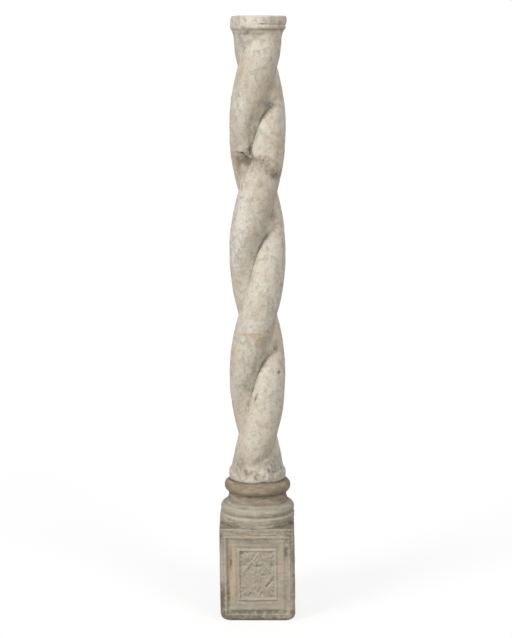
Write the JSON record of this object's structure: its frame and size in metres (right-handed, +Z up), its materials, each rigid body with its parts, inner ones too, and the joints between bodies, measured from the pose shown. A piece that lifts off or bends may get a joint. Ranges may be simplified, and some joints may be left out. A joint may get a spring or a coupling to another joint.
{
  "type": "twisted column on pedestal",
  "caption": "Tall twisted marble shaft of entwined strands with a beaded head, standing on a square carved pedestal with turned mouldings and framed panels.",
  "frame": {"origin": "middle of the pedestal's underside, on the floor", "axes": "+Z up along the shaft; -Y is the front, the face with the full carved panel; +X to the right seen from the front"},
  "size_m": [0.19, 0.19, 1.5],
  "materials": {
    "shaft_marble": "matt weathered marble, pale cream with grey dirt in the grooves",
    "pedestal_marble": "matt weathered marble, ochre and grey patina"
  },
  "bodies": {
    "root": {"twisted_shaft": "shaft_marble", "carved_pedestal": "pedestal_marble"}
  },
  "joints": []
}
